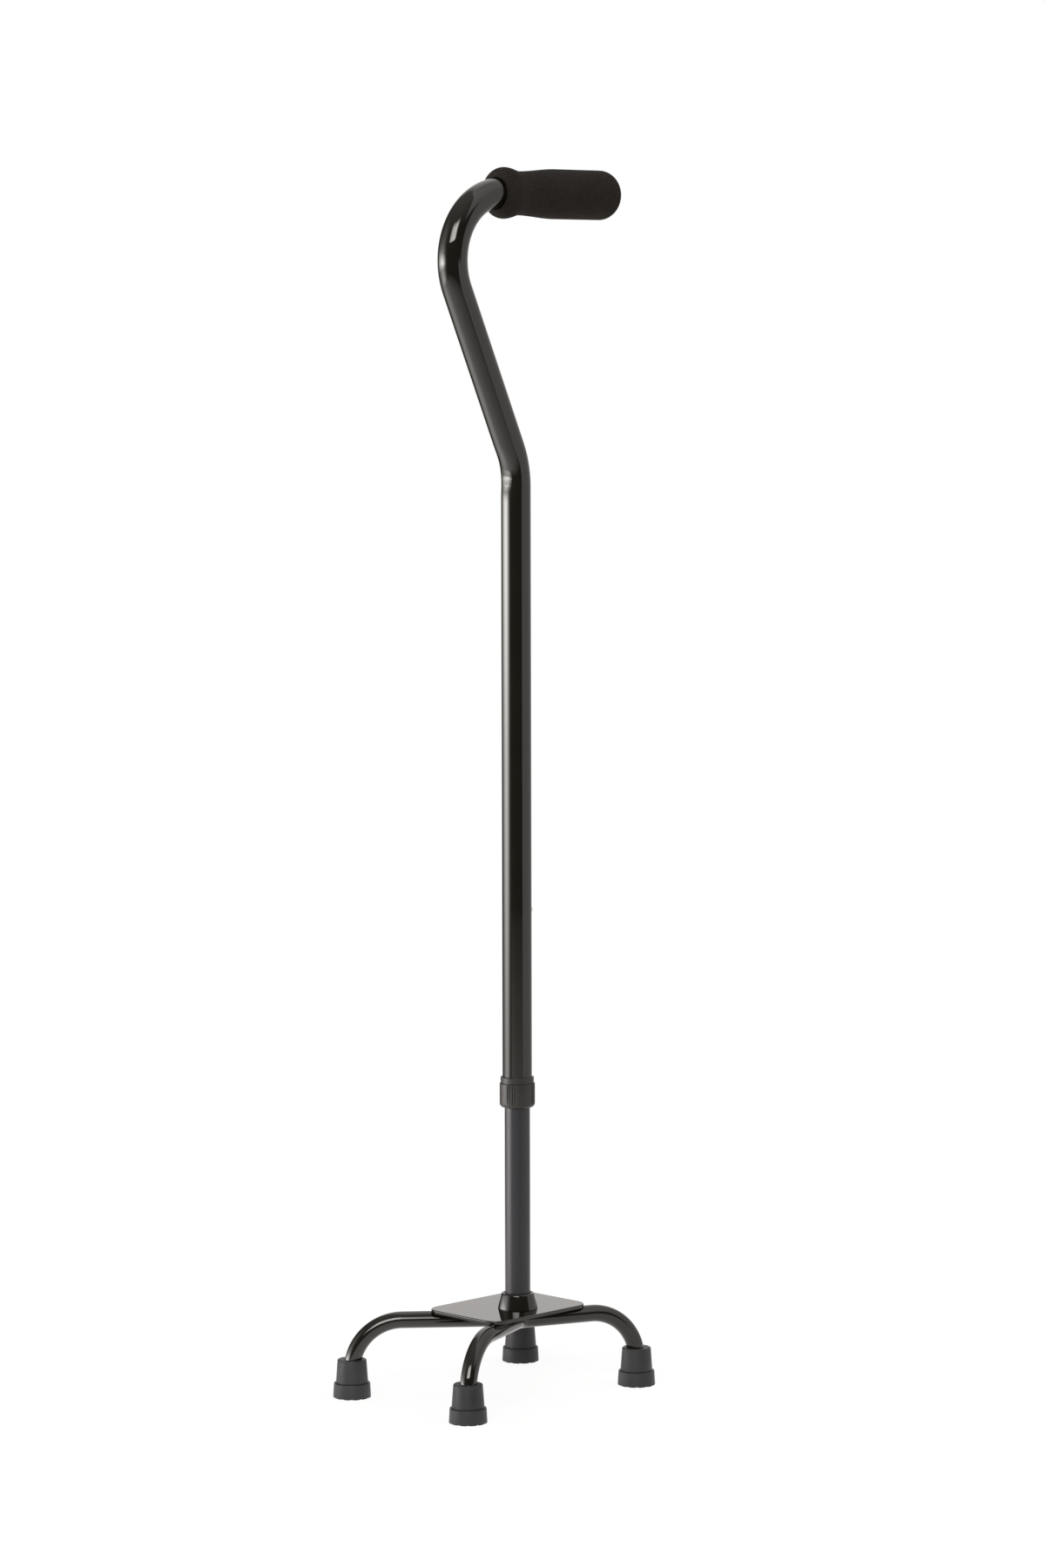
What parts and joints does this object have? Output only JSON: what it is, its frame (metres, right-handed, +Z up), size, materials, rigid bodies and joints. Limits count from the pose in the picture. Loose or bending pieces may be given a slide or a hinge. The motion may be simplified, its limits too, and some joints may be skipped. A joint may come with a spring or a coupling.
{
  "type": "quad walking cane",
  "caption": "Four-footed walking cane with a small base, a telescopic shaft locked by a snap button and a collar, a swan neck and a foam grip.",
  "frame": {"origin": "centre of the rectangle of the four feet, on the floor", "axes": "+X along the grip to its free end, +Y to the wide side of the base, +Z up the shaft"},
  "size_m": [0.209, 0.1526, 0.9194],
  "materials": {
    "gloss_black_steel": "gloss",
    "gloss_black_tube": "gloss",
    "satin_black_tube": "satin",
    "gloss_black_aluminium": "gloss",
    "collar_plastic": "satin",
    "tip_rubber": "matte",
    "grip_foam": "matte",
    "zinc_steel": "satin",
    "plated_button": "satin",
    "spring_steel": "satin",
    "nylon": "satin"
  },
  "bodies": {
    "base": {"base_plate": "gloss_black_steel", "base_hub": "gloss_black_steel", "leg_tube_front": "gloss_black_tube", "leg_tube_rear": "gloss_black_tube", "plate_welds": "gloss_black_tube", "rubber_tip_front": "tip_rubber", "rubber_tip_right": "tip_rubber", "rubber_tip_left": "tip_rubber", "rubber_tip_back": "tip_rubber", "tip_washers": "zinc_steel", "hub_screw": "zinc_steel", "lower_tube": "satin_black_tube", "lower_tube_plug": "nylon", "guide_bush": "nylon", "button_spring": "spring_steel"},
    "button": {"snap_button": "plated_button"},
    "upper": {"upper_tube": "gloss_black_aluminium", "collet_sleeve": "collar_plastic", "handle_end_plug": "nylon", "foam_grip": "grip_foam"},
    "collar": {"lock_collar": "collar_plastic"}
  },
  "joints": [
    {"name": "height_slide", "type": "slide", "parent": "base", "child": "upper", "axis": [0, 0, 1], "range_m": [-0.13335, 0.09525]},
    {"name": "button_press", "type": "slide", "parent": "base", "child": "button", "axis": [-1, 0, 0], "range_m": [0, 0.0046], "stiffness_N_per_m": 1500, "springref_m": -0.002, "deforming": ["button_spring"]},
    {"name": "collar_turn", "type": "hinge", "parent": "upper", "child": "collar", "pos_m": [0, -0.0244, 0.229], "axis": [0, 0, 1], "range_deg": [0, 180]}
  ]
}
